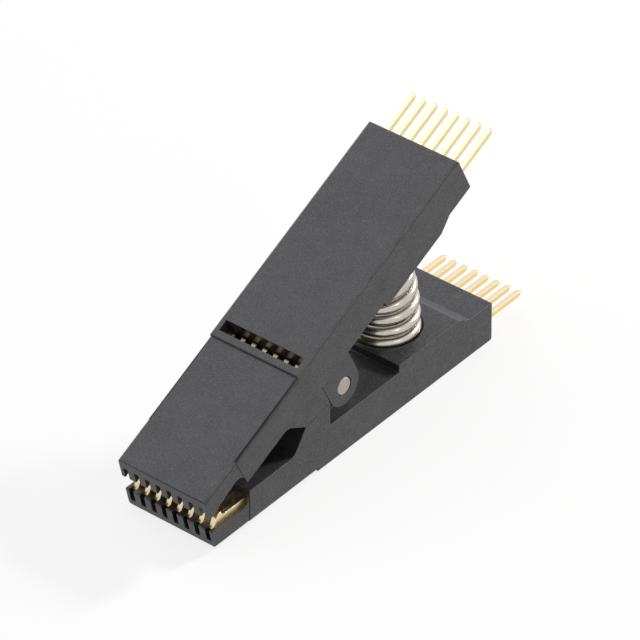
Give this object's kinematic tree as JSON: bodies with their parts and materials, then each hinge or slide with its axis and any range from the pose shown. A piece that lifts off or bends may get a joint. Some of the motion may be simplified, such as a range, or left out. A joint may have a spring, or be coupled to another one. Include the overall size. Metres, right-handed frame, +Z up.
{
  "type": "ic test clip",
  "caption": "Sprung two-jaw test clip that grips a small-outline chip and brings each of its leads out to a square pin behind the handles.",
  "frame": {"origin": "on the surface the clip rests on, under the middle of its bounding box", "axes": "+Y from the nose to the square pins, +X across the clip, +Z up out of the handle face that the clip lies on"},
  "size_m": [0.0104, 0.0463, 0.0236],
  "materials": {
    "body": "glass-filled black plastic with a fine spark-eroded texture",
    "contact_gold": "thin pale gold plating over spring bronze",
    "spring_steel": "drawn spring wire, bright",
    "pin_steel": "turned, lightly worn ends"
  },
  "bodies": {
    "lower_half": {"lower_jaw": "body", "hinge_pin": "pin_steel", "spring": "spring_steel", "lower_contact_1": "contact_gold", "lower_contact_2": "contact_gold", "lower_contact_3": "contact_gold", "lower_contact_4": "contact_gold", "lower_contact_5": "contact_gold", "lower_contact_6": "contact_gold", "lower_contact_7": "contact_gold", "lower_contact_8": "contact_gold"},
    "upper_half": {"upper_jaw": "body", "upper_contact_1": "contact_gold", "upper_contact_2": "contact_gold", "upper_contact_3": "contact_gold", "upper_contact_4": "contact_gold", "upper_contact_5": "contact_gold", "upper_contact_6": "contact_gold", "upper_contact_7": "contact_gold", "upper_contact_8": "contact_gold"}
  },
  "joints": [
    {"name": "jaw_hinge", "type": "hinge", "parent": "lower_half", "child": "upper_half", "pos_m": [0, -0.00363, 0.00744], "axis": [-1, 0, 0], "range_deg": [0, 18], "stiffness_Nm_per_rad": 0.35, "springref_deg": -9.74, "deforming": ["spring"]}
  ]
}
